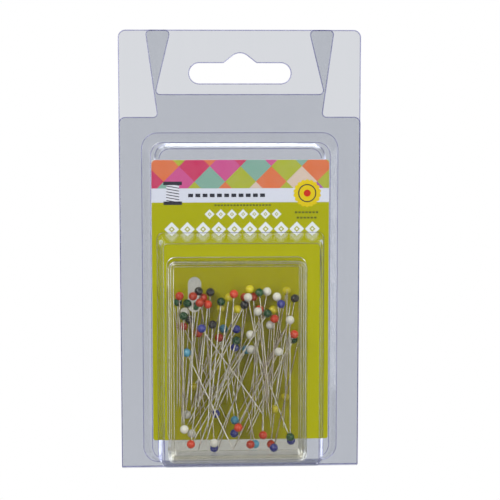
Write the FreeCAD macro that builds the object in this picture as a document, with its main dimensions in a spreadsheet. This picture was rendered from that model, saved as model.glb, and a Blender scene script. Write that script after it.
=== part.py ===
import FreeCAD, Part
import math
import os
import random

import Sketcher

# Hanging clamshell pack of ball-headed sewing pins, in millimetres.
# X runs across the pack, the pack faces -Y, and +Z is up as it hangs on its peg.
# Heights are measured from the pack's bottom edge, and every sub-part is lowered by
# slot_height, so that the origin is the centre of the hang slot.
# Depths are measured forwards from the plane where the two clear shells meet.

DRIVING_SIZES = {
    # the clear clamshell
    "pack_width": 75.6,
    "pack_height": 139.0,
    "sheet_thickness": 0.4,
    "sheet_gap": 0.1,
    "fold_radius": 0.3,
    "fold_clearance": 0.35,
    "shoulder_corner": 1.9,
    "tab_corner": 1.3,
    "ear_corner": 2.2,
    # the hang tab of the front shell and the notch in the rear one
    "shoulder_height": 112.0,
    "tab_bottom_width": 51.4,
    "tab_top_width": 58.8,
    "notch_height": 119.1,
    "notch_bottom_width": 53.2,
    "notch_top_width": 43.4,
    # the hang slot, with a low peak over its middle
    "slot_height": 125.7,
    "slot_length": 32.0,
    "slot_width": 6.6,
    "slot_peak": 4.1,
    "slot_peak_width": 10.4,
    "slot_peak_round": 3.8,
    "slot_peak_corner": 1.0,
    # the shallow card recess in the front shell
    "recess_width": 62.2,
    "recess_bottom": 1.9,
    "recess_top": 107.4,
    "recess_depth": 4.6,
    "recess_side_draft": 2.5,
    "recess_bottom_draft": 1.2,
    "recess_top_draft": 2.5,
    "recess_corner": 5.0,
    "recess_rim": 1.0,
    # the deep blister over the pin box
    "blister_width": 53.6,
    "blister_bottom": 2.2,
    "blister_top": 77.0,
    "blister_depth": 13.6,
    "blister_side_draft": 1.9,
    "blister_bottom_draft": 1.2,
    "blister_top_draft": 2.6,
    "blister_corner": 2.0,
    "blister_rim": 0.9,
    # the plug of the rear shell, which backs the card
    "plug_width": 54.2,
    "plug_bottom": 8.8,
    "plug_top": 104.0,
    "plug_depth": 3.3,
    "plug_draft": 0.9,
    "plug_corner": 4.2,
    "plug_rim": 0.9,
    # the printed card
    "card_width": 55.6,
    "card_bottom": 9.9,
    "card_top": 98.9,
    "card_depth": 3.45,
    "card_thickness": 0.45,
    "card_corner": 0.8,
    "punch_offset": -14.5,
    "punch_bottom": 51.0,
    "punch_top": 62.1,
    "punch_width": 4.1,
    # the clear box that holds the pins: a tray at the back and a lid over it
    "box_offset": -1.35,
    "box_width": 43.6,
    "box_bottom": 4.4,
    "box_top": 68.4,
    "box_back": 4.0,
    "box_front": 12.9,
    "box_wall": 0.8,
    "box_corner": 2.6,
    "box_rim": 0.6,
    "ledge_bottom": 9.6,
    "tray_gap": 0.4,
    "tray_bottom": 5.7,
    "tray_top": 67.1,
    "tray_front": 11.5,
    "tray_corner": 1.4,
    "tray_cavity_corner": 0.9,
    "lid_back": 5.0,
    # the box's hinge: studs on the tray in ears of the lid
    "pivot_depth": 5.1,
    "pivot_height": 7.4,
    "stud_radius": 0.5,
    "stud_clearance": 0.06,
    "stud_width": 43.2,
    "ear_radius": 1.1,
    # the pins
    "head_radius": 1.35,
    "wire_radius": 0.2,
    "pin_length": 36.0,
    "point_length": 2.2,
    "head_bore": 1.9,
    "pin_gap": 0.03,
    "pile_top": 58.8,
}

# How many pins have each colour of head
HEAD_COLOURS = {
    "red": 19,
    "white": 14,
    "green": 10,
    "yellow": 9,
    "blue": 9,
    "black": 6,
    "sky": 5,
}

# Kinds of pin in the pile: how many, whether the head is up, the least and most
# lean in degrees, and the most that a pin may hang above the floor
PIN_KINDS = (
    (16, True, 15, 36, 14),
    (8, False, 15, 36, 8),
    (12, False, 0, 13, 5),
    (36, True, 0, 11, 16),
)

# The most places that are tried for the pins of one kind
MOST_TRIES = 80000

doc = FreeCAD.newDocument("pin_pack")
sheet = doc.addObject("Spreadsheet::Sheet", "Sizes")
for row, (alias, size) in enumerate(DRIVING_SIZES.items(), start=1):
    sheet.set(f"A{row}", alias.replace("_", " "))
    sheet.set(f"B{row}", str(size))
    sheet.setAlias(f"B{row}", alias)
doc.recompute()


class FromSheet(dict):
    """Turns the aliases in an expression such as "{pack_width} / 2" into the sheet's cells."""

    def __missing__(self, alias):
        return f"Sizes.{alias}"


def bound(expression):
    """An expression as the document's objects read it."""
    return expression.format_map(FromSheet())


def size_of(expression):
    """The number that an expression gives."""
    result = sheet.evalExpression(bound(expression))
    return float(getattr(result, "Value", result))


# Bodies, sketches and features


def new_body(label):
    """A body that is lowered so that the hang slot's centre is the origin."""
    body = doc.addObject("PartDesign::Body", label)
    body.Label = label
    body.setExpression("Placement.Base.z", bound("-{slot_height}"))
    return body


def new_sketch(body, name, role, offset):
    """An empty sketch on one of the body's own origin planes, moved along its normal."""
    sketch = body.newObject("Sketcher::SketchObject", name)
    plane = next(f for f in body.Origin.OriginFeatures if f.Role == role)
    sketch.AttachmentSupport = (plane, "")
    sketch.MapMode = "FlatFace"
    sketch.setExpression("AttachmentOffset.Base.z", bound(offset))
    return sketch


def hold(sketch, kind, *target, at):
    """Adds a dimension to a sketch and binds it to an expression."""
    index = sketch.addConstraint(Sketcher.Constraint(kind, *target, size_of(at)))
    sketch.setExpression(f"Constraints[{index}]", bound(at))


def outline(body, name, depth, corners):
    """A sketch parallel to the pack's face with one straight-sided outline."""
    sketch = new_sketch(body, name, "XZ_Plane", depth)
    points = [FreeCAD.Vector(size_of(x), size_of(z), 0) for x, z in corners]
    for start, end in zip(points, points[1:] + points[:1]):
        sketch.addGeometry(Part.LineSegment(start, end), False)
    for line, (x, z) in enumerate(corners):
        sketch.addConstraint(
            Sketcher.Constraint("Coincident", line, 2, (line + 1) % len(corners), 1)
        )
        hold(sketch, "DistanceX", -1, 1, line, 1, at=x)
        hold(sketch, "DistanceY", -1, 1, line, 1, at=z)
    return sketch


def rounded_rectangle(body, name, depth, left, right, bottom, top, corner):
    """A sketch parallel to the pack's face with one rounded rectangle."""
    sketch = new_sketch(body, name, "XZ_Plane", depth)
    x0, x1, z0, z1, r = (size_of(e) for e in (left, right, bottom, top, corner))
    corner_centres = ((x1 - r, z0 + r), (x1 - r, z1 - r), (x0 + r, z1 - r), (x0 + r, z0 + r))
    sides = (
        ((x0 + r, z0), (x1 - r, z0)),
        ((x1, z0 + r), (x1, z1 - r)),
        ((x1 - r, z1), (x0 + r, z1)),
        ((x0, z1 - r), (x0, z0 + r)),
    )
    for side, (start, end) in enumerate(sides):
        line = Part.LineSegment(FreeCAD.Vector(*start, 0), FreeCAD.Vector(*end, 0))
        sketch.addGeometry(line, False)
        circle = Part.Circle(
            FreeCAD.Vector(*corner_centres[side], 0), FreeCAD.Vector(0, 0, 1), r
        )
        start_angle = (side - 1) * math.pi / 2
        sketch.addGeometry(Part.ArcOfCircle(circle, start_angle, start_angle + math.pi / 2), False)
    for side in range(4):
        line = 2 * side
        sketch.addConstraint(Sketcher.Constraint("Tangent", line, 2, line + 1, 1))
        sketch.addConstraint(Sketcher.Constraint("Tangent", line + 1, 2, (line + 2) % 8, 1))
        level = "Horizontal" if side % 2 == 0 else "Vertical"
        sketch.addConstraint(Sketcher.Constraint(level, line))
    for arc in (3, 5, 7):
        sketch.addConstraint(Sketcher.Constraint("Equal", 1, arc))
    hold(sketch, "Radius", 1, at=corner)
    hold(sketch, "DistanceY", -1, 1, 0, 1, at=bottom)
    hold(sketch, "DistanceX", -1, 1, 2, 1, at=right)
    hold(sketch, "DistanceY", -1, 1, 4, 1, at=top)
    hold(sketch, "DistanceX", -1, 1, 6, 1, at=left)
    return sketch


def side_circle(body, name, depth, height, radius):
    """A sketch across the pack's width with one circle."""
    sketch = new_sketch(body, name, "YZ_Plane", "0")
    centre = FreeCAD.Vector(-size_of(depth), size_of(height), 0)
    sketch.addGeometry(Part.Circle(centre, FreeCAD.Vector(0, 0, 1), size_of(radius)), False)
    hold(sketch, "Radius", 0, at=radius)
    hold(sketch, "DistanceX", -1, 1, 0, 3, at=f"-({depth})")
    hold(sketch, "DistanceY", -1, 1, 0, 3, at=height)
    return sketch


def pad(body, name, sketch, length, backwards=False, both_ways=False):
    """Grows a sketch along its normal, which is forwards for a sketch on the pack's face."""
    feature = body.newObject("PartDesign::Pad", name)
    feature.Profile = sketch
    feature.setExpression("Length", bound(length))
    feature.Reversed = backwards
    feature.Midplane = both_ways
    return feature


def pocket(body, name, sketch, length, both_ways=False):
    """Cuts a sketch out of the body, backwards from the sketch."""
    doc.recompute()
    before = body.Shape.Volume
    feature = body.newObject("PartDesign::Pocket", name)
    feature.Profile = sketch
    feature.setExpression("Length", bound(length))
    feature.Midplane = both_ways
    doc.recompute()
    if body.Shape.Volume > before - 1e-6:
        raise RuntimeError(f"{name} cuts nothing")
    return feature


def round_edges(body, name, radius, wanted):
    """Rounds every edge of the body so far that wanted picks."""
    doc.recompute()
    base = body.Tip
    edges = [f"Edge{i}" for i, edge in enumerate(base.Shape.Edges, start=1) if wanted(edge)]
    if not edges:
        raise RuntimeError(f"{name} finds no edge to round")
    feature = body.newObject("PartDesign::Fillet", name)
    feature.Base = (base, edges)
    feature.setExpression("Radius", bound(radius))
    doc.recompute()
    return feature


def near(first, second):
    """True if two sizes agree within the tolerance of a picked edge."""
    return abs(first - second) < 0.02


def in_plane(depth):
    """Picks the edges that lie whole in the plane at a depth."""
    y = -size_of(depth)
    return lambda edge: near(edge.BoundBox.YMin, y) and near(edge.BoundBox.YMax, y)


def through_corners(corners):
    """Picks the edges that run through the sheet at the corners of an outline."""
    places = [(size_of(x), size_of(z)) for x, z in corners]

    def wanted(edge):
        box = edge.BoundBox
        if box.YLength < 0.1:
            return False
        return any(
            near(box.XMin, x) and near(box.XMax, x) and near(box.ZMin, z) and near(box.ZMax, z)
            for x, z in places
        )

    return wanted


def drafted_box(body, name, hollow, mouth_depth, face_depth, mouth, drafts, corner, rim, inset):
    """A tapering box on a sheet, solid or cut out, with a rounded rim round its face.

    mouth is the half width, bottom and top at the sheet, drafts says how far the sides, the
    bottom and the top lean in by the face, and inset moves all of them inwards.
    """
    half, bottom, top = mouth
    side_draft, bottom_draft, top_draft = drafts
    stages = []
    for stage, depth, share in (("mouth", mouth_depth, "0"), ("face", face_depth, "1")):
        reach = f"({half}) - ({inset}) - {share} * ({side_draft})"
        stages.append(
            rounded_rectangle(
                body,
                f"{name}_{stage}",
                depth,
                f"-({reach})",
                reach,
                f"({bottom}) + ({inset}) + {share} * ({bottom_draft})",
                f"({top}) - ({inset}) - {share} * ({top_draft})",
                f"({corner}) - ({inset})",
            )
        )
    kind = "SubtractiveLoft" if hollow else "AdditiveLoft"
    feature = body.newObject(f"PartDesign::{kind}", name)
    feature.Profile = stages[0]
    feature.Sections = [stages[1]]
    feature.Ruled = True
    round_edges(body, f"{name}_rim", f"({rim}) - ({inset})", in_plane(face_depth))


# The clear clamshell


def make_front_shell():
    """The front shell: flange and hang tab, card recess and blister, open at the back."""
    body = new_body("front_shell")
    half = "{pack_width} / 2"
    foot = "{fold_radius} + {fold_clearance}"
    shoulders = [(half, "{shoulder_height}"), (f"-{half}", "{shoulder_height}")]
    roots = [
        ("{tab_bottom_width} / 2", "{shoulder_height}"),
        ("-{tab_bottom_width} / 2", "{shoulder_height}"),
    ]
    tips = [("{tab_top_width} / 2", "{pack_height}"), ("-{tab_top_width} / 2", "{pack_height}")]
    edge = [
        (f"-{half}", foot),
        (half, foot),
        shoulders[0],
        roots[0],
        tips[0],
        tips[1],
        roots[1],
        shoulders[1],
    ]
    flange = outline(body, "front_edge", "{sheet_gap}", edge)
    pad(body, "front_flange", flange, "{sheet_thickness}")
    round_edges(body, "shoulder_rounds", "{shoulder_corner}", through_corners(shoulders))
    round_edges(body, "tab_rounds", "{tab_corner}", through_corners(roots + tips))
    recess = {
        "mouth_depth": "{sheet_gap}",
        "mouth": ("{recess_width} / 2", "{recess_bottom}", "{recess_top}"),
        "drafts": ("{recess_side_draft}", "{recess_bottom_draft}", "{recess_top_draft}"),
        "corner": "{recess_corner}",
        "rim": "{recess_rim}",
    }
    cover = {
        "mouth_depth": "{sheet_gap}",
        "mouth": ("{blister_width} / 2", "{blister_bottom}", "{blister_top}"),
        "drafts": ("{blister_side_draft}", "{blister_bottom_draft}", "{blister_top_draft}"),
        "corner": "{blister_corner}",
        "rim": "{blister_rim}",
    }
    drafted_box(body, "recess", False, face_depth="{recess_depth}", inset="0", **recess)
    drafted_box(body, "blister", False, face_depth="{blister_depth}", inset="0", **cover)
    wall = "{sheet_thickness}"
    inner_depth = "{recess_depth} - {sheet_thickness}"
    drafted_box(body, "recess_inside", True, face_depth=inner_depth, inset=wall, **recess)
    inner_depth = "{blister_depth} - {sheet_thickness}"
    drafted_box(body, "blister_inside", True, face_depth=inner_depth, inset=wall, **cover)
    cut_hang_slot(body)
    return body


def cut_hang_slot(body):
    """The hanging slot with round ends, and the rounded peak over its middle."""
    face = "{sheet_gap} + {sheet_thickness}"
    low = "{slot_height} - {slot_width} / 2"
    high = "{slot_height} + {slot_width} / 2"
    slot = rounded_rectangle(
        body,
        "slot_outline",
        face,
        "-{slot_length} / 2",
        "{slot_length} / 2",
        low,
        high,
        "{slot_width} / 2 - 0.01",
    )
    pocket(body, "hang_slot", slot, "{sheet_thickness}")
    top = f"{high} + {{slot_peak}}"
    feet = [("{slot_peak_width} / 2", high), ("-{slot_peak_width} / 2", high)]
    peak = outline(body, "peak_outline", face, feet + [("0", top)])
    pocket(body, "slot_peak", peak, "{sheet_thickness}")
    round_edges(body, "peak_round", "{slot_peak_round}", through_corners([("0", top)]))
    round_edges(body, "peak_corners", "{slot_peak_corner}", through_corners(feet))


def make_rear_shell():
    """The rear shell: flange with a notch between two ears, plug, and the fold at its foot."""
    body = new_body("rear_shell")
    half = "{pack_width} / 2"
    ears = [(half, "{pack_height}"), (f"-{half}", "{pack_height}")]
    mouth = [
        ("{notch_top_width} / 2", "{pack_height}"),
        ("-{notch_top_width} / 2", "{pack_height}"),
    ]
    floor = [
        ("{notch_bottom_width} / 2", "{notch_height}"),
        ("-{notch_bottom_width} / 2", "{notch_height}"),
    ]
    edge = [
        (f"-{half}", "{fold_radius}"),
        (half, "{fold_radius}"),
        ears[0],
        mouth[0],
        floor[0],
        floor[1],
        mouth[1],
        ears[1],
    ]
    flange = outline(body, "rear_edge", "-{sheet_gap}", edge)
    pad(body, "rear_flange", flange, "{sheet_thickness}", backwards=True)
    round_edges(body, "ear_rounds", "{ear_corner}", through_corners(ears))
    round_edges(body, "notch_rounds", "{tab_corner}", through_corners(mouth + floor))
    fold = side_circle(body, "fold_section", "0", "{fold_radius}", "{fold_radius}")
    pad(body, "fold", fold, "{pack_width}", both_ways=True)
    plug = {
        "mouth_depth": "-{sheet_gap} - {sheet_thickness}",
        "mouth": ("{plug_width} / 2", "{plug_bottom}", "{plug_top}"),
        "drafts": ("{plug_draft}", "{plug_draft}", "{plug_draft}"),
        "corner": "{plug_corner}",
        "rim": "{plug_rim}",
    }
    drafted_box(body, "plug", False, face_depth="{plug_depth}", inset="0", **plug)
    wall = "{sheet_thickness}"
    inner_depth = "{plug_depth} - {sheet_thickness}"
    drafted_box(body, "plug_inside", True, face_depth=inner_depth, inset=wall, **plug)
    return body


# The card and the pin box


def make_insert_card():
    """The printed card, with a punched slot."""
    body = new_body("insert_card")
    face = rounded_rectangle(
        body,
        "card_outline",
        "{card_depth}",
        "-{card_width} / 2",
        "{card_width} / 2",
        "{card_bottom}",
        "{card_top}",
        "{card_corner}",
    )
    pad(body, "card", face, "{card_thickness}")
    punch = rounded_rectangle(
        body,
        "punch_outline",
        "{card_depth} + {card_thickness}",
        "{punch_offset} - {punch_width} / 2",
        "{punch_offset} + {punch_width} / 2",
        "{punch_bottom}",
        "{punch_top}",
        "{punch_width} / 2 - 0.01",
    )
    pocket(body, "punch", punch, "{card_thickness}")
    return body


def box_rectangle(body, name, depth, inset, bottom, top, corner):
    """A rounded rectangle centred on the pin box."""
    reach = f"({{box_width}} / 2 - ({inset}))"
    return rounded_rectangle(
        body,
        name,
        depth,
        f"{{box_offset}} - {reach}",
        f"{{box_offset}} + {reach}",
        bottom,
        top,
        corner,
    )


def make_box_tray():
    """The box's rear half: back plate with a ledge, inner walls, and the hinge studs."""
    body = new_body("box_tray")
    wall_inset = "{box_wall} + {tray_gap}"
    ledge = box_rectangle(
        body, "ledge_outline", "{box_back}", "0", "{ledge_bottom}", "{box_top}", "{box_corner}"
    )
    pad(body, "ledge", ledge, "{box_wall}")
    walls = box_rectangle(
        body,
        "wall_outline",
        "{box_back}",
        wall_inset,
        "{tray_bottom}",
        "{tray_top}",
        "{tray_corner}",
    )
    pad(body, "walls", walls, "{tray_front} - {box_back}")
    studs = side_circle(
        body, "stud_section", "{pivot_depth}", "{pivot_height}", "{stud_radius}"
    )
    studs.setExpression("AttachmentOffset.Base.z", bound("{box_offset}"))
    pad(body, "studs", studs, "{stud_width}", both_ways=True)
    cavity = box_rectangle(
        body,
        "cavity_outline",
        "{tray_front}",
        wall_inset + " + {box_wall}",
        "{tray_bottom} + {box_wall}",
        "{tray_top} - {box_wall}",
        "{tray_cavity_corner}",
    )
    pocket(body, "cavity", cavity, "{tray_front} - {box_back} - {box_wall}")
    return body


def make_box_lid():
    """The box's front half, which overlaps the tray and turns on its studs."""
    body = new_body("box_lid")
    shell = box_rectangle(
        body, "lid_outline", "{lid_back}", "0", "{box_bottom}", "{box_top}", "{box_corner}"
    )
    pad(body, "lid", shell, "{box_front} - {lid_back}")
    round_edges(body, "lid_rim", "{box_rim}", in_plane("{box_front}"))
    ears = side_circle(body, "ear_section", "{pivot_depth}", "{pivot_height}", "{ear_radius}")
    ears.setExpression("AttachmentOffset.Base.z", bound("{box_offset}"))
    pad(body, "ears", ears, "{box_width}", both_ways=True)
    inside = box_rectangle(
        body,
        "inside_outline",
        "{box_front} - {box_wall}",
        "{box_wall}",
        "{box_bottom} + {box_wall}",
        "{box_top} - {box_wall}",
        "{box_corner} - {box_wall}",
    )
    pocket(body, "inside", inside, "{box_front}")
    bore = side_circle(
        body,
        "bore_section",
        "{pivot_depth}",
        "{pivot_height}",
        "{stud_radius} + {stud_clearance}",
    )
    pocket(body, "bore", bore, "2 * {pack_width}", both_ways=True)
    return body


# The pins. Each is a head centre and a tip, and lies as it settled in the tray.


def along(start, end, share):
    """The point at a share of the way from start to end."""
    return tuple(a + (b - a) * share for a, b in zip(start, end))


def clamp(value):
    """A value held between 0 and 1."""
    return min(1.0, max(0.0, value))


def dot(a, b):
    """The scalar product of two triples."""
    return a[0] * b[0] + a[1] * b[1] + a[2] * b[2]


def minus(a, b):
    """The difference of two triples."""
    return (a[0] - b[0], a[1] - b[1], a[2] - b[2])


def point_to_wire(point, start, end):
    """The distance from a point to a straight wire."""
    run = minus(end, start)
    share = clamp(dot(minus(point, start), run) / dot(run, run))
    return math.dist(point, along(start, end, share))


def wire_to_wire(start, end, other_start, other_end):
    """The distance between two straight wires."""
    run = minus(end, start)
    other_run = minus(other_end, other_start)
    between = minus(start, other_start)
    a = dot(run, run)
    b = dot(run, other_run)
    c = dot(other_run, other_run)
    d = dot(run, between)
    e = dot(other_run, between)
    spread = a * c - b * b
    share = clamp((b * e - c * d) / spread) if spread > 1e-9 else 0.0
    other_share = clamp((b * share + e) / c)
    share = clamp((b * other_share - d) / a)
    return math.dist(along(start, end, share), along(other_start, other_end, other_share))


class PinPile:
    """Pins that are let down one after another into the tray."""

    def __init__(self):
        self.head_radius = size_of("{head_radius}")
        self.wire_radius = size_of("{wire_radius}")
        self.gap = size_of("{pin_gap}")
        self.wire_length = size_of("{pin_length} - {head_radius}")
        inner_half = size_of("{box_width} / 2 - 2 * {box_wall} - {tray_gap}")
        centre = size_of("{box_offset}")
        # the space inside the closed box, across, front to back and upwards
        self.low = (
            centre - inner_half,
            -size_of("{tray_front}"),
            size_of("{tray_bottom} + {box_wall}"),
        )
        self.high = (
            centre + inner_half,
            -size_of("{box_back} + {box_wall}"),
            size_of("{tray_top} - {box_wall}"),
        )
        self.top = size_of("{pile_top}")
        self.pins = []

    def inside(self, point, radius, axis):
        """True if a ball keeps clear of the two walls that face along an axis."""
        margin = radius + self.gap
        return self.low[axis] + margin <= point[axis] <= self.high[axis] - margin

    def fits_across(self, head, tip):
        """True if a pin is clear of the side walls, the back and the lid."""
        return all(
            self.inside(head, self.head_radius, axis) and self.inside(tip, self.wire_radius, axis)
            for axis in (0, 1)
        )

    def touches(self, head, tip):
        """True if a pin would touch one that lies already."""
        ball_gap = 2 * self.head_radius + self.gap
        side_gap = self.head_radius + self.wire_radius + self.gap
        wire_gap = 2 * self.wire_radius + self.gap
        left = min(head[0], tip[0]) - ball_gap
        right = max(head[0], tip[0]) + ball_gap
        for other_head, other_tip in self.pins:
            if max(other_head[0], other_tip[0]) < left or min(other_head[0], other_tip[0]) > right:
                continue
            if math.dist(head, other_head) < ball_gap:
                return True
            if point_to_wire(head, other_head, other_tip) < side_gap:
                return True
            if point_to_wire(other_head, head, tip) < side_gap:
                return True
            if wire_to_wire(head, tip, other_head, other_tip) < wire_gap:
                return True
        return False

    def lowest_rest(self, head, tip, least_lift):
        """Raises a pin from the floor until it touches no other, or gives None at the top."""
        lift = least_lift + max(
            self.low[2] + self.head_radius + self.gap - head[2],
            self.low[2] + self.wire_radius + self.gap - tip[2],
        )
        while max(head[2], tip[2]) + lift <= self.top:
            raised_head = (head[0], head[1], head[2] + lift)
            raised_tip = (tip[0], tip[1], tip[2] + lift)
            if not self.touches(raised_head, raised_tip):
                return raised_head, raised_tip
            lift += self.head_radius / 4
        return None

    def add(self, chance, count, head_up, least_lean, most_lean, spare_lift):
        """Slides in a number of pins of one kind, each at a place drawn by chance."""
        wanted = len(self.pins) + count
        for _ in range(MOST_TRIES):
            if len(self.pins) == wanted:
                return
            head, tip = self.drawn_pin(chance, head_up, least_lean, most_lean)
            if not self.fits_across(head, tip):
                continue
            settled = self.lowest_rest(head, tip, spare_lift * chance.random() ** 2)
            if settled is not None:
                self.pins.append(settled)
        raise RuntimeError("the tray has no room for all the pins")

    def drawn_pin(self, chance, head_up, least_lean, most_lean):
        """A pin somewhere across the tray, leaning to either side, with its head up or down."""
        side = chance.choice((-1, 1))
        lean = side * math.radians(chance.uniform(least_lean, most_lean))
        tilt = math.radians(chance.uniform(-4, 4))
        upwards = -1 if head_up else 1
        run = (
            math.sin(lean),
            math.cos(lean) * math.sin(tilt),
            upwards * math.cos(lean) * math.cos(tilt),
        )
        head = (
            chance.uniform(self.low[0], self.high[0]),
            chance.uniform(self.low[1], self.high[1]),
            0.0,
        )
        tip = tuple(h + r * self.wire_length for h, r in zip(head, run))
        return head, tip


def settle_pins():
    """All the pins, the most slanted first, while there is room for them."""
    chance = random.Random(7)
    pile = PinPile()
    for kind in PIN_KINDS:
        pile.add(chance, *kind)
    return pile.pins, chance


def head_shape():
    """A ball with a blind bore along its own -Z for the wire."""
    radius = size_of("{head_radius}")
    bore = Part.makeCylinder(
        size_of("{wire_radius}"),
        size_of("{head_bore}"),
        FreeCAD.Vector(0, 0, size_of("{head_bore} - {head_radius}")),
        FreeCAD.Vector(0, 0, -1),
    )
    return Part.makeSphere(radius).cut(bore)


def shaft_shape():
    """The wire along -Z, from the bottom of the head's bore to its ground point."""
    radius = size_of("{wire_radius}")
    start = size_of("{head_radius} - {head_bore}")
    end = size_of("{pin_length} - {head_radius}")
    cone = size_of("{point_length}")
    profile = [
        FreeCAD.Vector(0, 0, -start),
        FreeCAD.Vector(radius, 0, -start),
        FreeCAD.Vector(radius, 0, cone - end),
        FreeCAD.Vector(radius / 8, 0, -end),
        FreeCAD.Vector(0, 0, -end),
    ]
    wire = Part.makePolygon(profile + profile[:1])
    return Part.Face(wire).revolve(FreeCAD.Vector(), FreeCAD.Vector(0, 0, 1), 360)


def make_pins():
    """One node of heads and one of shafts for each colour."""
    pins, chance = settle_pins()
    chance.shuffle(pins)
    ball = head_shape()
    shaft = shaft_shape()
    parts = []
    for colour, count in HEAD_COLOURS.items():
        taken = pins[:count]
        del pins[:count]
        for kind, shape in (("heads", ball), ("shafts", shaft)):
            solids = []
            for head, tip in taken:
                down = FreeCAD.Vector(*minus(tip, head))
                turn = FreeCAD.Rotation(FreeCAD.Vector(0, 0, -1), down)
                solid = shape.copy()
                solid.Placement = FreeCAD.Placement(FreeCAD.Vector(*head), turn)
                solids.append(solid)
            feature = doc.addObject("Part::Feature", f"pin_{kind}_{colour}")
            feature.Label = feature.Name
            feature.Shape = Part.makeCompound(solids)
            feature.Placement.Base.z = -size_of("{slot_height}")
            parts.append(feature)
    return parts


def check(parts):
    """Stops if an object failed or a sub-part has no sound solid."""
    for thing in doc.Objects:
        if "Invalid" in thing.State or "Error" in thing.State:
            raise RuntimeError(f"{thing.Name} failed: {thing.State}")
    for part in parts:
        if part.Shape.isNull() or not part.Shape.isValid() or not part.Shape.Solids:
            raise RuntimeError(f"{part.Label} has no sound shape")


subparts = [
    make_front_shell(),
    make_rear_shell(),
    make_insert_card(),
    make_box_tray(),
    make_box_lid(),
]
subparts += make_pins()
doc.recompute()
check(subparts)
os.makedirs("parts", exist_ok=True)
for subpart in subparts:
    subpart.Shape.exportStep(f"parts/{subpart.Label}.step")
    box = subpart.Shape.BoundBox
    print(
        f"{subpart.Label}: {len(subpart.Shape.Solids)} solids, {subpart.Shape.Volume:.1f} mm3,"
        f" {box.XLength:.2f} x {box.YLength:.2f} x {box.ZLength:.2f} mm"
    )
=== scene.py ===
import math

import bmesh
import bpy
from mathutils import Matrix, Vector


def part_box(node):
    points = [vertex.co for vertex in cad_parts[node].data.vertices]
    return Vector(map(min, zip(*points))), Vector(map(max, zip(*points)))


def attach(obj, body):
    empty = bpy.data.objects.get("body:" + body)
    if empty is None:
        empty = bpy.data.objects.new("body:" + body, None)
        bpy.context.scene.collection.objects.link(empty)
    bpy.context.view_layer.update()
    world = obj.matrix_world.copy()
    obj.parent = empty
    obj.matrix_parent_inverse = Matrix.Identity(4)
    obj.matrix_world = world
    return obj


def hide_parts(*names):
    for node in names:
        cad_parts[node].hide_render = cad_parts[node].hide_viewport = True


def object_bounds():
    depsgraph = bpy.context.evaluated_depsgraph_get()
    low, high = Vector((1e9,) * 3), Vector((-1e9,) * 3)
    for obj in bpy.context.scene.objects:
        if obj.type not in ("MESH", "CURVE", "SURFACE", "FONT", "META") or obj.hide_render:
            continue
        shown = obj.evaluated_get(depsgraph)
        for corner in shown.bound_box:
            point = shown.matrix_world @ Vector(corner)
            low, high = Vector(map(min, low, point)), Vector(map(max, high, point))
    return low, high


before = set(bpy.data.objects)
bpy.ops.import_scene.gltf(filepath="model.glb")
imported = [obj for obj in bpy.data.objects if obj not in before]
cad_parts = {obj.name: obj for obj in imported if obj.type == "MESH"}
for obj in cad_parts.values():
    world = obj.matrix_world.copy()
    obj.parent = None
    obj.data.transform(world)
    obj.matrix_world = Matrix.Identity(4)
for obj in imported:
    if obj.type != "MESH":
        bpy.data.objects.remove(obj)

CAD_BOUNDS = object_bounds()
MM = 0.001

card_low, card_high = (Vector(corner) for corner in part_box("insert_card"))
pack_low, pack_high = (Vector(corner) for corner in CAD_BOUNDS)


# Node helpers


def new_material(name):
    """An empty material and its tree."""
    material = bpy.data.materials.new(name)
    material.use_nodes = True
    material.node_tree.nodes.clear()
    return material, material.node_tree


def node(tree, kind, **settings):
    """Adds a node. A setting names a socket, by its label with _ for spaces, or an attribute."""
    made = tree.nodes.new(kind)
    for key, value in settings.items():
        label = key.replace("_", " ")
        if hasattr(made, key):
            setattr(made, key, value)
            continue
        socket = next(s for s in made.inputs if s.name.lower() == label.lower())
        feed(tree, socket, value)
    return made


def feed(tree, socket, value):
    """Links an output to a socket, or sets the socket to a plain value."""
    if isinstance(value, bpy.types.NodeSocket):
        tree.links.new(value, socket)
    elif isinstance(value, tuple) and len(value) == 3 and socket.type == "RGBA":
        socket.default_value = (*value, 1)
    else:
        socket.default_value = value


def maths(tree, operation, first, second=0.0, third=0.0):
    """The result of a Math node."""
    made = tree.nodes.new("ShaderNodeMath")
    made.operation = operation
    for socket, value in zip(made.inputs, (first, second, third)):
        feed(tree, socket, value)
    return made.outputs[0]


def mix_colour(tree, share, first, second):
    """One colour laid over another by a share from 0 to 1."""
    made = tree.nodes.new("ShaderNodeMix")
    made.data_type = "RGBA"
    sockets = {s.name: s for s in made.inputs if s.enabled}
    feed(tree, sockets["Factor"], share)
    feed(tree, sockets["A"], first)
    feed(tree, sockets["B"], second)
    return next(s for s in made.outputs if s.enabled)


def noise(tree, scale, detail=2.0, roughness=0.5, stretch=None):
    """A grey noise in the object's own space, stretched where three scales are given."""
    where = tree.nodes.new("ShaderNodeTexCoord").outputs["Object"]
    if stretch:
        where = node(tree, "ShaderNodeMapping", Vector=where, Scale=Vector(stretch)).outputs[0]
    return node(
        tree, "ShaderNodeTexNoise", Vector=where, Scale=scale, Detail=detail, Roughness=roughness
    ).outputs[0]


def ranged(tree, value, low, high):
    """A value from 0 to 1 spread between two others."""
    return node(
        tree, "ShaderNodeMapRange", Value=value, To_Min=low, To_Max=high
    ).outputs["Result"]


def bump(tree, height, strength, distance):
    """A normal bent by a height."""
    return node(
        tree, "ShaderNodeBump", Height=height, Strength=strength, Distance=distance
    ).outputs[0]


def output(tree, surface):
    """Sends a surface out of the tree."""
    node(tree, "ShaderNodeOutputMaterial", Surface=surface)


# Clear plastics

# how far a wall turns away before its film deepens, and where it is deepest
FILM_TURN = (0.78, 0.97)
HAZE_TINT = (0.70, 0.72, 0.76)
# the shine of a wall that is seen edge on, and how late it sets in
EDGE_SHINE = 0.68
SHINE_POWER = 3.2
# how far the outer face of either sheet is from the plane where the shells meet
SHEET_FACE = 0.5 * MM
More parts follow.
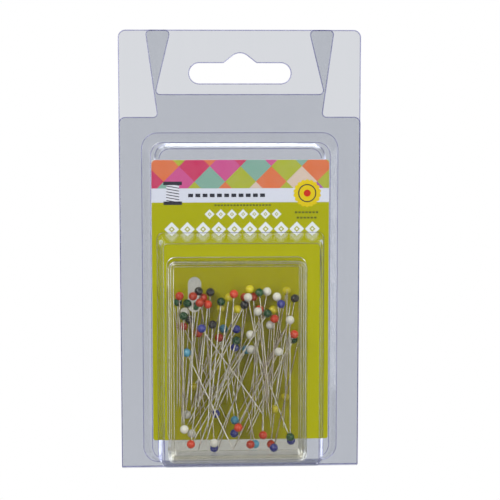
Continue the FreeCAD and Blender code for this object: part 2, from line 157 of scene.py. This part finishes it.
# the lines inside the plastic: their depth below the outer face, and their radius
SHEET_LINE_DEPTH = 0.2 * MM
CUT_LINE_RADIUS = 0.2 * MM
BEND_LINE_RADIUS = 0.13 * MM
BOX_LINE_DEPTH = 0.25 * MM
BOX_LINE_RADIUS = 0.14 * MM


def clear_surface(tree, share, film, shine):
    """What is behind, seen through a film, with a share of shine. Lamps shine straight through."""
    see = node(tree, "ShaderNodeBsdfTransparent", Color=film)
    seen = node(tree, "ShaderNodeMixShader")
    feed(tree, seen.inputs[0], share)
    feed(tree, seen.inputs[1], see.outputs[0])
    feed(tree, seen.inputs[2], shine.outputs[0])
    passing = node(tree, "ShaderNodeBsdfTransparent", Color=(1.0, 1.0, 1.0))
    either = node(tree, "ShaderNodeMixShader")
    feed(tree, either.inputs[0], tree.nodes.new("ShaderNodeLightPath").outputs["Is Shadow Ray"])
    feed(tree, either.inputs[1], seen.outputs[0])
    feed(tree, either.inputs[2], passing.outputs[0])
    output(tree, either.outputs[0])


def clear_plastic(name, tint, edge_tint, gloss, roughness, waviness, wave_scale):
    """A clear wall: it shows what is behind it through a tint that deepens where it turns away.

    The shine on top is mirrored light, which grows as the slightly wavy face turns away.
    """
    material, tree = new_material(name)
    facing = node(tree, "ShaderNodeLayerWeight", Blend=0.5).outputs["Facing"]
    turned = node(
        tree,
        "ShaderNodeMapRange",
        Value=facing,
        From_Min=FILM_TURN[0],
        From_Max=FILM_TURN[1],
    ).outputs["Result"]
    streaks = noise(tree, 1.0, 2, stretch=(500, 500, 14))
    haze = maths(tree, "MULTIPLY_ADD", streaks, 0.07, ranged(tree, noise(tree, 60, 3), 0.0, 0.05))
    film = mix_colour(tree, turned, tint, edge_tint)
    film = mix_colour(tree, haze, film, HAZE_TINT)
    wave = bump(tree, noise(tree, wave_scale, 1.5), waviness, 0.2 * MM)
    rough = ranged(tree, noise(tree, 220, 2), roughness, roughness * 2.4)
    shine = node(tree, "ShaderNodeBsdfAnisotropic", Color=(0.97, 0.98, 1.0), Roughness=rough)
    feed(tree, shine.inputs["Normal"], wave)
    turn = node(tree, "ShaderNodeLayerWeight", Blend=0.5, Normal=wave).outputs["Facing"]
    shine_turn = maths(tree, "POWER", turn, SHINE_POWER)
    mirror = maths(tree, "MULTIPLY_ADD", shine_turn, EDGE_SHINE, gloss)
    clear_surface(tree, mirror, film, shine)
    return material


def sheet_plastic():
    """The thermoformed sheet: a cool grey, wavier than the moulded box."""
    return clear_plastic(
        "clear_sheet",
        tint=(0.832, 0.841, 0.861),
        edge_tint=(0.30, 0.30, 0.56),
        gloss=0.008,
        roughness=0.02,
        waviness=0.25,
        wave_scale=40,
    )


def box_plastic():
    """The moulded pin box: clearer and flatter, with pale edges."""
    return clear_plastic(
        "clear_box",
        tint=(0.974, 0.960, 0.905),
        edge_tint=(0.52, 0.52, 0.42),
        gloss=0.010,
        roughness=0.015,
        waviness=0.12,
        wave_scale=30,
    )


def painted_line_plastic(name, dark, light, gloss):
    """Plastic seen along a cut edge or a bend, where it looks deeper in colour: a tinted film with
    a share of shine that paints the edge's shade, or its highlight in paler colours.
    """
    material, tree = new_material(name)
    grain = noise(tree, 300, 2)
    film = mix_colour(tree, grain, dark, light)
    rough = ranged(tree, grain, 0.15, 0.3)
    shine = node(tree, "ShaderNodeBsdfAnisotropic", Color=(0.95, 0.95, 1.0), Roughness=rough)
    clear_surface(tree, gloss, film, shine)
    return material


def flat_outlines(name, outward):
    """The outlines of a node's flat outward faces: those of cut edges, and those of bends.

    Each is a list of pairs of points. The outward side is -1 for the front and 1 for the back.
    A cut edge lies in the flange, between its face and a wall square to it.
    """
    shell = bmesh.new()
    shell.from_mesh(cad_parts[name].data)
    bmesh.ops.remove_doubles(shell, verts=shell.verts, dist=0.001 * MM)
    flange = outward * SHEET_FACE
    cuts, bends = [], []
    for edge in shell.edges:
        if len(edge.link_faces) != 2:
            continue
        off, flat = sorted(face.normal.y * outward for face in edge.link_faces)
        if flat < 0.9999 or off > 0.999:
            continue
        ends = [vertex.co.copy() for vertex in edge.verts]
        at_flange = all(abs(end.y - flange) < 0.02 * MM for end in ends)
        (cuts if at_flange and abs(off) < 0.2 else bends).append(ends)
    shell.free()
    return cuts, bends


def line_piece(name, body, pairs, shift, radius, coat):
    """Thin beads along pairs of points, moved by a shift in depth, as one mesh piece."""
    points, runs, known = [], [], {}
    for pair in pairs:
        run = []
        for x, y, z in pair:
            key = (round(x / MM, 3), round(y / MM, 3), round(z / MM, 3))
            if key not in known:
                known[key] = len(points)
                points.append((x, y + shift, z))
            run.append(known[key])
        runs.append(run)
    mesh = bpy.data.meshes.new(name)
    mesh.from_pydata(points, runs, [])
    piece = bpy.data.objects.new(name, mesh)
    bpy.context.scene.collection.objects.link(piece)
    bpy.ops.object.select_all(action="DESELECT")
    piece.select_set(True)
    bpy.context.view_layer.objects.active = piece
    bpy.ops.object.convert(target="CURVE")
    piece = bpy.context.object
    piece.data.bevel_depth = radius
    piece.data.bevel_resolution = 1
    bpy.ops.object.convert(target="MESH")
    piece = bpy.context.object
    piece.name = name
    piece.data.materials.clear()
    piece.data.materials.append(coat)
    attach(piece, body)


def draw_painted_plastic_lines():
    """The lines that a clear pack shows at its cut edges and along its bends, as beads with
    painted light: painted shade at the sheets' cut edges and bends, and painted highlights along
    the box's edges.
    """
    # painted shade lines for the sheets' cut edges and bends, and painted highlight lines for the
    # box
    cut = painted_line_plastic("cut_edge", (0.52, 0.52, 0.70), (0.82, 0.82, 0.90), 0.04)
    bend = painted_line_plastic("bend_painted_shade", (0.48, 0.48, 0.72), (0.70, 0.70, 0.86), 0.10)
    pale = painted_line_plastic("box_painted_highlight", (0.80, 0.80, 0.72), (0.95, 0.95, 0.88), 0.45)
    for name, body, outward in (("front_shell", "front", -1), ("rear_shell", "rear", 1)):
        cuts, bends = flat_outlines(name, outward)
        inwards = -outward * SHEET_LINE_DEPTH
        line_piece(name + "_cut_edges", body, cuts, inwards, CUT_LINE_RADIUS, cut)
        line_piece(name + "_bends", body, bends, inwards, BEND_LINE_RADIUS, bend)
    for name, body in (("box_lid", "lid"), ("box_tray", "rear")):
        cuts, bends = flat_outlines(name, -1)
        lines = cuts + bends
        line_piece(name + "_bends", body, lines, BOX_LINE_DEPTH, BOX_LINE_RADIUS, pale)


# Pins

HEAD_COLOURS = {
    "red": (0.68, 0.050, 0.012),
    "white": (0.80, 0.79, 0.74),
    "green": (0.010, 0.085, 0.022),
    "yellow": (0.72, 0.63, 0.010),
    "blue": (0.035, 0.040, 0.30),
    "black": (0.012, 0.011, 0.014),
    "sky": (0.08, 0.34, 0.52),
}
DULL_STEEL = (0.72, 0.70, 0.67)
BRIGHT_STEEL = (1.0, 0.99, 0.97)
# painted shade: the brown of wires shaded deep in the pile, and the most of it any wire takes
SHADED_STEEL_BROWN = (0.33, 0.25, 0.18)
MOST_WIRE_SHADE = 0.85


def steel():
    """Bright nickel-plated wire with faint drawing marks. Some wires are browner than others:
    painted shade, given at random per wire, for wires lying shaded deep in the pile.
    """
    material, tree = new_material("pin_steel")
    marks = noise(tree, 900, 3)
    island = tree.nodes.new("ShaderNodeNewGeometry").outputs["Random Per Island"]
    plating = mix_colour(tree, marks, DULL_STEEL, BRIGHT_STEEL)
    # painted shade: a random share per wire turns brown
    brown = maths(tree, "MULTIPLY", maths(tree, "POWER", island, 1.2), MOST_WIRE_SHADE)
    surface = node(
        tree,
        "ShaderNodeBsdfPrincipled",
        Base_Color=mix_colour(tree, brown, plating, SHADED_STEEL_BROWN),
        Metallic=1.0,
        Roughness=ranged(tree, marks, 0.10, 0.24),
    )
    feed(tree, surface.inputs["Normal"], bump(tree, marks, 0.15, 0.02 * MM))
    output(tree, surface.outputs[0])
    return material


def ball(colour_name, colour):
    """A glossy ball head. Each ball is a little lighter or darker than the next."""
    material, tree = new_material(f"head_{colour_name}")
    island = tree.nodes.new("ShaderNodeNewGeometry").outputs["Random Per Island"]
    grain = noise(tree, 1500, 2)
    light = tuple(min(1.0, c * 1.2 + 0.008) for c in colour)
    dark = tuple(c * 0.62 for c in colour)
    shade = mix_colour(tree, island, dark, light)
    shade = mix_colour(tree, ranged(tree, grain, 0.0, 0.12), shade, dark)
    surface = node(
        tree,
        "ShaderNodeBsdfPrincipled",
        Base_Color=shade,
        Roughness=ranged(tree, grain, 0.16, 0.30),
        Coat_Weight=0.5,
        Coat_Roughness=0.08,
    )
    output(tree, surface.outputs[0])
    return material


# The printed card

CARD_GREEN = (0.450, 0.440, 0.001)
MOTTLE_GREEN = (0.31, 0.33, 0.008)
DARK_GREEN = (0.12, 0.13, 0.02)
STRIP_WHITE = (0.74, 0.75, 0.80)
DIAMOND_WHITE = (0.86, 0.87, 0.84)
THREAD_WHITE = (0.80, 0.80, 0.82)
INK = (0.035, 0.035, 0.045)
BADGE_YELLOW = (0.80, 0.60, 0.010)
BUTTON_RED = (0.62, 0.035, 0.012)
CLOTH_GREY = (0.62, 0.58, 0.60)
LIME = (0.42, 0.46, 0.010)
PATCH_COLOURS = (
    LIME,
    LIME,
    (0.05, 0.20, 0.26),
    (0.60, 0.02, 0.10),
    (0.72, 0.56, 0.43),
    (0.22, 0.42, 0.31),
    (0.40, 0.08, 0.36),
    (0.75, 0.17, 0.04),
    (0.17, 0.13, 0.31),
    (0.62, 0.07, 0.25),
)
# steps round the colours from one slanting row of patches to the next, either way
PATCH_STEPS = (("ADD", 0.382), ("SUBTRACT", 0.236))
PATCH_DIAGONAL = 9.6 * MM

# The card's layout: across from the pack's middle, and down from the card's top edge
BAND_HEIGHT = 8.9 * MM
STRIP_HEIGHT = 4.4 * MM
# rows of stitches: middle, drop, count, pitch, thickness and colour
STITCH_ROWS = (
    (-4 * MM, BAND_HEIGHT + STRIP_HEIGHT / 2, 11, 2.25 * MM, 1.1 * MM, INK),
    (0.8 * MM, 14.2 * MM, 18, 1.0 * MM, 0.5 * MM, DARK_GREEN),
    (20.9 * MM, 16.5 * MM, 7, 1.1 * MM, 0.6 * MM, DARK_GREEN),
    (20.9 * MM, 18.2 * MM, 6, 1.1 * MM, 0.6 * MM, DARK_GREEN),
)
STITCH_SHARE = 0.68
# rows of diamonds: middle, drop, count, pitch and half a diamond's diagonal
DIAMOND_ROWS = (
    (0.8 * MM, 17.0 * MM, 7, 3.5 * MM, 1.55 * MM),
    (0.5 * MM, 21.7 * MM, 10, 4.9 * MM, 2.3 * MM),
)
SPOOL_OFFSET = -21.2 * MM
SPOOL_DROP = 10.4 * MM
SPOOL_HALF_WIDTH = 2.9 * MM
FLANGE_RISE = 3.1 * MM
FLANGE_HALF_HEIGHT = 0.55 * MM
THREAD_HALF_WIDTH = 2.0 * MM
THREAD_HALF_HEIGHT = 2.6 * MM
THREAD_PITCH = 0.9 * MM
THREAD_SLOPE = 0.18
BADGE_OFFSET = 20.9 * MM
BADGE_DROP = 10.5 * MM
BADGE_RADIUS = 4.3 * MM
BADGE_LOBES = 18
BUTTON_RING = (2.5 * MM, 2.85 * MM)
BUTTON_DOT = 1.1 * MM
CARD_CORNER = 0.8 * MM
PUNCH_OFFSET = -14.5 * MM
PUNCH_DROP = 36.8 * MM
PUNCH_WIDTH = 4.1 * MM
PUNCH_HEIGHT = 11.1 * MM
PLATE_EASE = 0.05 * MM


def inside(tree, value, low, high):
    """1 where a value lies between two others."""
    above = maths(tree, "GREATER_THAN", value, low)
    below = maths(tree, "LESS_THAN", value, high)
    return maths(tree, "MULTIPLY", above, below)


def patchwork(tree, across, up):
    """Diamond patches on a slanting grid. Unequal steps round the colours part the neighbours."""
    steps = []
    for operation, colour_step in PATCH_STEPS:
        slant = maths(tree, operation, across, up)
        cell = maths(tree, "FLOOR", maths(tree, "DIVIDE", slant, PATCH_DIAGONAL))
        steps.append(maths(tree, "MULTIPLY", cell, colour_step))
    pick = maths(tree, "FRACT", maths(tree, "ADD", *steps))
    ramp = tree.nodes.new("ShaderNodeValToRGB")
    ramp.color_ramp.interpolation = "CONSTANT"
    stops = ramp.color_ramp.elements
    for i, colour in enumerate(PATCH_COLOURS):
        stop = stops[i] if i < 2 else stops.new(i / len(PATCH_COLOURS))
        stop.position = i / len(PATCH_COLOURS)
        stop.color = (*colour, 1)
    feed(tree, ramp.inputs[0], pick)
    cloth = ranged(tree, noise(tree, 260, 3), 0.0, 0.16)
    return mix_colour(tree, cloth, ramp.outputs[0], CLOTH_GREY)


def badge_mask(tree, dx, dz):
    """1 inside a round badge with a scalloped edge, and the distance from its centre."""
    angle = maths(tree, "ARCTAN2", dz, dx)
    wave = maths(tree, "SINE", maths(tree, "MULTIPLY", angle, BADGE_LOBES / 2))
    lobes = maths(tree, "ABSOLUTE", wave)
    reach = maths(tree, "MULTIPLY_ADD", lobes, BADGE_RADIUS * 0.10, BADGE_RADIUS * 0.92)
    squares = maths(tree, "ADD", maths(tree, "MULTIPLY", dx, dx), maths(tree, "MULTIPLY", dz, dz))
    distance = maths(tree, "SQRT", squares)
    return maths(tree, "LESS_THAN", distance, reach), distance


def stitch_row(tree, across, up, centre, height, count, pitch, thickness):
    """1 on a row of dashes like running stitch."""
    along_row = maths(tree, "SUBTRACT", across, centre - count * pitch / 2)
    row = inside(tree, up, height - thickness / 2, height + thickness / 2)
    run = inside(tree, along_row, 0.0, count * pitch)
    step = maths(tree, "FRACT", maths(tree, "DIVIDE", along_row, pitch))
    dash = maths(tree, "LESS_THAN", step, STITCH_SHARE)
    return maths(tree, "MULTIPLY", maths(tree, "MULTIPLY", row, run), dash)


def diamond_row(tree, across, up, centre, height, count, pitch, half):
    """1 on a row of quilt diamonds, each with a smaller diamond left open in it."""
    along_row = maths(tree, "SUBTRACT", across, centre - count * pitch / 2)
    step = maths(tree, "FRACT", maths(tree, "DIVIDE", along_row, pitch))
    sideways = maths(tree, "ABSOLUTE", maths(tree, "MULTIPLY_ADD", step, pitch, -pitch / 2))
    upwards = maths(tree, "ABSOLUTE", maths(tree, "SUBTRACT", up, height))
    reach = maths(tree, "ADD", sideways, upwards)
    ring = inside(tree, reach, 0.42 * half, half)
    middle = maths(tree, "LESS_THAN", reach, 0.2 * half)
    shape = maths(tree, "ADD", ring, middle)
    return maths(tree, "MULTIPLY", shape, inside(tree, along_row, 0.0, count * pitch))


def card_print():
    """The card's printed face."""
    material, tree = new_material("card_print")
    where = tree.nodes.new("ShaderNodeTexCoord").outputs["Object"]
    parts = node(tree, "ShaderNodeSeparateXYZ", Vector=where)
    across, up = parts.outputs["X"], parts.outputs["Z"]
    top = card_high.z
    mottle = ranged(tree, noise(tree, 35, 4), 0.0, 0.15)
    shade = mix_colour(tree, mottle, CARD_GREEN, MOTTLE_GREEN)
    band = maths(tree, "GREATER_THAN", up, top - BAND_HEIGHT)
    shade = mix_colour(tree, band, shade, patchwork(tree, across, up))
    strip = inside(tree, up, top - BAND_HEIGHT - STRIP_HEIGHT, top - BAND_HEIGHT)
    shade = mix_colour(tree, strip, shade, STRIP_WHITE)
    # rows of stitches and diamonds stand where the pack's titles would be
    for centre, drop, count, pitch, thickness, colour in STITCH_ROWS:
        mask = stitch_row(tree, across, up, centre, top - drop, count, pitch, thickness)
        shade = mix_colour(tree, mask, shade, colour)
    for centre, drop, count, pitch, half in DIAMOND_ROWS:
        mask = diamond_row(tree, across, up, centre, top - drop, count, pitch, half)
        shade = mix_colour(tree, mask, shade, DIAMOND_WHITE)
    shade = spool(tree, across, up, shade)
    shade = badge(tree, across, up, shade)
    grain = noise(tree, 1800, 2)
    surface = node(
        tree,
        "ShaderNodeBsdfPrincipled",
        Base_Color=shade,
        Roughness=ranged(tree, grain, 0.38, 0.55),
        Specular_IOR_Level=0.12,
    )
    feed(tree, surface.inputs["Normal"], bump(tree, grain, 0.12, 0.03 * MM))
    output(tree, surface.outputs[0])
    return material


def spool(tree, across, up, shade):
    """A small cotton reel: two dark flanges with wound thread between them."""
    dx = maths(tree, "SUBTRACT", across, SPOOL_OFFSET)
    dz = maths(tree, "SUBTRACT", up, card_high.z - SPOOL_DROP)
    thread = maths(
        tree,
        "MULTIPLY",
        inside(tree, dx, -THREAD_HALF_WIDTH, THREAD_HALF_WIDTH),
        inside(tree, dz, -THREAD_HALF_HEIGHT, THREAD_HALF_HEIGHT),
    )
    slant = maths(tree, "MULTIPLY_ADD", dx, THREAD_SLOPE, dz)
    winding = maths(tree, "FRACT", maths(tree, "DIVIDE", slant, THREAD_PITCH))
    dark_turn = maths(tree, "LESS_THAN", winding, 0.3)
    shade = mix_colour(tree, thread, shade, THREAD_WHITE)
    shade = mix_colour(tree, maths(tree, "MULTIPLY", thread, dark_turn), shade, INK)
    for middle in (-FLANGE_RISE, FLANGE_RISE):
        flange = maths(
            tree,
            "MULTIPLY",
            inside(tree, dx, -SPOOL_HALF_WIDTH, SPOOL_HALF_WIDTH),
            inside(tree, dz, middle - FLANGE_HALF_HEIGHT, middle + FLANGE_HALF_HEIGHT),
        )
        shade = mix_colour(tree, flange, shade, INK)
    return shade


def badge(tree, across, up, shade):
    """A yellow badge with a button on it: a dark ring round a red dot."""
    dx = maths(tree, "SUBTRACT", across, BADGE_OFFSET)
    dz = maths(tree, "SUBTRACT", up, card_high.z - BADGE_DROP)
    mask, distance = badge_mask(tree, dx, dz)
    shade = mix_colour(tree, mask, shade, BADGE_YELLOW)
    ring = maths(tree, "MULTIPLY", inside(tree, distance, *BUTTON_RING), mask)
    shade = mix_colour(tree, ring, shade, INK)
    dot = maths(tree, "LESS_THAN", distance, BUTTON_DOT)
    return mix_colour(tree, dot, shade, BUTTON_RED)


def card_board():
    """The card's unprinted back and cut edges."""
    material, tree = new_material("card_board")
    fibre = noise(tree, 700, 4)
    shade = mix_colour(tree, fibre, (0.62, 0.61, 0.57), (0.78, 0.77, 0.74))
    surface = node(
        tree, "ShaderNodeBsdfPrincipled", Base_Color=shade, Roughness=ranged(tree, fibre, 0.7, 0.9)
    )
    feed(tree, surface.inputs["Normal"], bump(tree, fibre, 0.2, 0.04 * MM))
    output(tree, surface.outputs[0])
    return material


def rounded_loop(left, right, bottom, top, radius, steps=10):
    """The points round a rounded rectangle."""
    points = []
    corners = (
        (right - radius, bottom + radius, -90),
        (right - radius, top - radius, 0),
        (left + radius, top - radius, 90),
        (left + radius, bottom + radius, 180),
    )
    for x, z, start in corners:
        for step in range(steps + 1):
            angle = math.radians(start + 90 * step / steps)
            points.append((x + radius * math.cos(angle), z + radius * math.sin(angle)))
    return points


def plate(name, loops, back, front):
    """A flat plate in the pack's plane with holes, its edges eased, as a mesh object."""
    curve = bpy.data.curves.new(name, "CURVE")
    curve.dimensions = "2D"
    curve.fill_mode = "BOTH"
    curve.extrude = (back - front) / 2 - PLATE_EASE
    curve.bevel_depth = PLATE_EASE
    curve.bevel_resolution = 2
    curve.offset = -PLATE_EASE
    for loop in loops:
        spline = curve.splines.new("POLY")
        spline.points.add(len(loop) - 1)
        for point, (x, z) in zip(spline.points, loop):
            point.co = (x, z, 0, 1)
        spline.use_cyclic_u = True
    source = bpy.data.objects.new(name + "_outline", curve)
    bpy.context.scene.collection.objects.link(source)
    mesh = bpy.data.meshes.new_from_object(source)
    bpy.data.objects.remove(source)
    for vertex in mesh.vertices:
        x, z, depth = vertex.co
        vertex.co = (x, (back + front) / 2 - depth, z)
    mesh.name = name
    mesh.update()
    made = bpy.data.objects.new(name, mesh)
    bpy.context.scene.collection.objects.link(made)
    return made


def make_card():
    """The card with its punched slot, printed on the front only."""
    outer = rounded_loop(card_low.x, card_high.x, card_low.z, card_high.z, CARD_CORNER)
    punch_top = card_high.z - PUNCH_DROP
    punch = rounded_loop(
        PUNCH_OFFSET - PUNCH_WIDTH / 2,
        PUNCH_OFFSET + PUNCH_WIDTH / 2,
        punch_top - PUNCH_HEIGHT,
        punch_top,
        PUNCH_WIDTH / 2 - 0.01 * MM,
    )
    card = plate("printed_card", [outer, punch], card_high.y, card_low.y)
    card.data.materials.clear()
    card.data.materials.append(card_print())
    card.data.materials.append(card_board())
    for face in card.data.polygons:
        face.material_index = 0 if face.normal.y < -0.9 else 1
    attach(card, "rear")
    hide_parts("insert_card")


# Finishes of the CAD nodes


def finish_nodes():
    """Gives every CAD node that stays its material."""
    sheet = sheet_plastic()
    box = box_plastic()
    wire = steel()
    balls = {name: ball(name, colour) for name, colour in HEAD_COLOURS.items()}
    for name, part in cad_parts.items():
        if name in ("front_shell", "rear_shell"):
            coat = sheet
        elif name in ("box_tray", "box_lid"):
            coat = box
        elif name.startswith("pin_shafts"):
            coat = wire
        elif name.startswith("pin_heads"):
            coat = balls[name.rsplit("_", 1)[1]]
        else:
            continue
        for slot in part.material_slots:
            slot.material = coat


# Light, floor and camera

# the surroundings as the shine on the plastic sees them: how far aside or overhead, from 0 to 1,
# and a share of STRIP_POWER. The two ends come first.
LIGHT_STRIPS = (
    (0.0, 0.20),
    (1.0, 0.30),
    (0.13, 0.20),
    (0.17, 1.0),
    (0.43, 1.0),
    (0.48, 0.16),
    (0.87, 0.20),
    (0.92, 0.30),
)
STRIP_POWER = 3.3
# how far up the light overhead starts
OVERHEAD_START = 0.12
AMBIENT = 0.66
# soft lamps: name, place from the pack's middle in metres, width, height and power in watts
LAMPS = (
    ("key", (-0.35, -0.55, 0.45), 0.45, 0.45, 5.0),
    ("fill", (0.55, -0.45, 0.10), 0.30, 0.60, 2.8),
    ("rim", (0.10, 0.45, 0.45), 0.50, 0.30, 2.0),
)
FLOOR_DROP = 0.17
FLOOR_RADIUS = 0.30
CAMERA_DISTANCE = 0.468
CAMERA_AZIMUTH = math.radians(-2.84)
CAMERA_ELEVATION = math.radians(6.4)
CAMERA_LENS = 106.4
# where the camera aims: off the pack's middle by a share of its width, and up by one of its height
AIM_ASIDE = 0.0416
AIM_UP = 0.5046


def softbox(name, place, aim, width, height, power):
    """A large soft lamp that looks at a point."""
    lamp = bpy.data.lights.new(name, "AREA")
    lamp.shape = "RECTANGLE"
    lamp.size = width
    lamp.size_y = height
    lamp.energy = power
    made = bpy.data.objects.new(name, lamp)
    made.location = place
    made.rotation_euler = (aim - place).to_track_quat("-Z", "Y").to_euler()
    bpy.context.scene.collection.objects.link(made)


def light_studio():
    """White surroundings, dimmer as a light than as a backdrop, and three soft lamps."""
    world = bpy.data.worlds.new("studio")
    bpy.context.scene.world = world
    world.use_nodes = True
    tree = world.node_tree
    tree.nodes.clear()
    path = tree.nodes.new("ShaderNodeLightPath").outputs
    where = tree.nodes.new("ShaderNodeTexCoord").outputs["Generated"]
    parts = node(tree, "ShaderNodeSeparateXYZ", Vector=where).outputs
    # bright strips at both sides and overhead, which only the shine on the plastic sees
    overhead = maths(tree, "SUBTRACT", parts["Z"], OVERHEAD_START)
    aside = maths(tree, "MAXIMUM", maths(tree, "ABSOLUTE", parts["X"]), overhead)
    ramp = tree.nodes.new("ShaderNodeValToRGB")
    stops = ramp.color_ramp.elements
    for i, (place, level) in enumerate(LIGHT_STRIPS):
        stop = stops[i] if i < 2 else stops.new(place)
        stop.position = place
        stop.color = (level, level, level, 1)
    feed(tree, ramp.inputs[0], aside)
    strips = maths(tree, "MULTIPLY", ramp.outputs[0], STRIP_POWER)
    extra = maths(tree, "SUBTRACT", strips, AMBIENT)
    strength = maths(tree, "MULTIPLY_ADD", path["Is Glossy Ray"], extra, AMBIENT)
    strength = maths(tree, "MAXIMUM", strength, path["Is Camera Ray"])
    background = node(tree, "ShaderNodeBackground", Color=(1.0, 1.0, 1.0), Strength=strength)
    node(tree, "ShaderNodeOutputWorld", Surface=background.outputs[0])
    middle = (pack_low + pack_high) / 2
    for name, offset, width, height, power in LAMPS:
        softbox(name, middle + Vector(offset), middle, width, height, power)


def make_floor():
    """A pale round floor below the hanging pack."""
    bpy.ops.mesh.primitive_circle_add(
        vertices=96,
        radius=FLOOR_RADIUS,
        fill_type="NGON",
        location=(0, 0, pack_low.z - FLOOR_DROP),
    )
    floor = bpy.context.object
    floor.name = "floor"
    material, tree = new_material("floor")
    speckle = noise(tree, 40, 3)
    surface = node(
        tree,
        "ShaderNodeBsdfPrincipled",
        Base_Color=mix_colour(tree, speckle, (0.66, 0.66, 0.66), (0.71, 0.71, 0.71)),
        Roughness=ranged(tree, speckle, 0.55, 0.7),
    )
    output(tree, surface.outputs[0])
    floor.data.materials.append(material)


def place_camera():
    """The photograph's view: a long lens, slightly from the left and from above."""
    back = Vector(
        (
            math.sin(CAMERA_AZIMUTH) * math.cos(CAMERA_ELEVATION),
            -math.cos(CAMERA_AZIMUTH) * math.cos(CAMERA_ELEVATION),
            math.sin(CAMERA_ELEVATION),
        )
    )
    size = pack_high - pack_low
    aim = Vector((AIM_ASIDE * size.x, 0, pack_low.z + AIM_UP * size.z))
    camera = bpy.data.cameras.new("camera")
    camera.sensor_width = 36
    camera.lens = CAMERA_LENS
    camera.clip_start = 0.01
    made = bpy.data.objects.new("camera", camera)
    made.location = aim + CAMERA_DISTANCE * back
    made.rotation_euler = back.to_track_quat("Z", "Y").to_euler()
    bpy.context.scene.collection.objects.link(made)
    bpy.context.scene.camera = made


def main():
    """Builds the scene around the frame."""
    place_camera()
    make_card()
    finish_nodes()
    draw_painted_plastic_lines()
    make_floor()
    light_studio()
    bpy.context.scene.view_settings.view_transform = "Standard"
    # a line of sight passes up to a dozen clear faces
    bpy.context.scene.cycles.transparent_max_bounces = 40
    bpy.context.scene.cycles.glossy_bounces = 12
    bpy.context.scene.cycles.max_bounces = 20


main()
